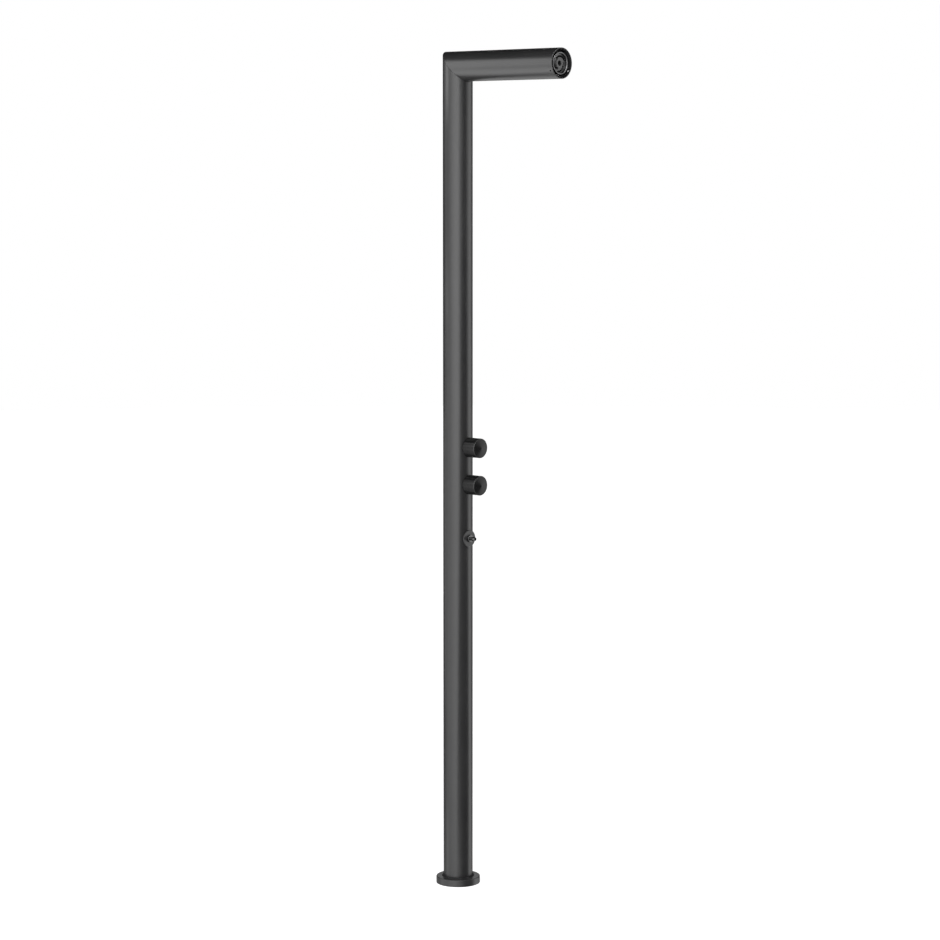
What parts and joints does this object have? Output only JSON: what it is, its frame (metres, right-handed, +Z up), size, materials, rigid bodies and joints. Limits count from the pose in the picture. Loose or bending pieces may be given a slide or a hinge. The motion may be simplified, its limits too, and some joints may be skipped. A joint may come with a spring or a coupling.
{
  "type": "shower column",
  "caption": "Free-standing outdoor shower column: round tube with a mitred arm and recessed swirl head, mixer and diverter knobs, and a hose outlet.",
  "frame": {"origin": "centre of the anchor bolt circle on the underside of the anchor plate, on the column's axis, at floor level", "axes": "+Z is up along the column, the arm and the controls face -Y, +X is the cold side"},
  "size_m": [0.114, 0.407, 2.15],
  "materials": {
    "anthracite_coat": "fine textured powder coat, satin",
    "black_coat": "black satin coat",
    "dark_steel": "turned, blackened",
    "insert_plastic": "satin moulded",
    "plate_steel": "rolled plate",
    "screw_steel": "plain",
    "cast_brass": "cast, tumbled",
    "turned_brass": "turned",
    "white_ceramic": "lapped ceramic",
    "grey_plastic": "moulded",
    "black_rubber": "matt"
  },
  "bodies": {
    "column": {"column_tube": "anthracite_coat", "arm_tube": "anthracite_coat", "outlet_rosette": "anthracite_coat", "mixer_collar": "black_coat", "diverter_collar": "black_coat", "outlet_nipple": "dark_steel", "head_body": "dark_steel", "spray_insert": "insert_plastic", "anchor_plate": "plate_steel", "valve_body": "cast_brass", "outlet_elbow": "cast_brass", "mixer_housing": "turned_brass", "diverter_housing": "turned_brass", "mixer_gland_nut": "turned_brass", "diverter_gland_nut": "turned_brass", "hot_inlet_coupling": "turned_brass", "cold_inlet_coupling": "turned_brass", "hot_inlet_pipe": "turned_brass", "cold_inlet_pipe": "turned_brass", "riser_pipe": "turned_brass", "outlet_pipe": "turned_brass", "mixer_fixed_disc": "white_ceramic", "diverter_fixed_disc": "white_ceramic", "mixer_cartridge": "grey_plastic", "diverter_cartridge": "grey_plastic", "pipe_spacer": "grey_plastic", "riser_spacer": "grey_plastic", "head_carrier": "grey_plastic", "mixer_seal": "black_rubber", "diverter_seal": "black_rubber", "outlet_washer": "black_rubber", "head_gasket": "black_rubber"},
    "mixer": {"mixer_knob": "black_coat", "mixer_spindle": "turned_brass", "mixer_moving_disc": "white_ceramic", "mixer_grub_screw": "screw_steel"},
    "diverter": {"diverter_knob": "black_coat", "diverter_spindle": "turned_brass", "diverter_moving_disc": "white_ceramic", "diverter_grub_screw": "screw_steel"},
    "rosette": {"floor_rosette": "anthracite_coat", "rosette_seal": "black_rubber"}
  },
  "joints": [
    {"name": "mixer_turn", "type": "hinge", "parent": "column", "child": "mixer", "pos_m": [0, 0, 1.146], "axis": [0, -1, 0], "range_deg": [0, 180]},
    {"name": "diverter_turn", "type": "hinge", "parent": "column", "child": "diverter", "pos_m": [0, 0, 1.05], "axis": [0, -1, 0], "range_deg": [-90, 90]},
    {"name": "rosette_slide", "type": "slide", "parent": "column", "child": "rosette", "axis": [0, 0, 1], "range_m": [0, 0.86]}
  ]
}
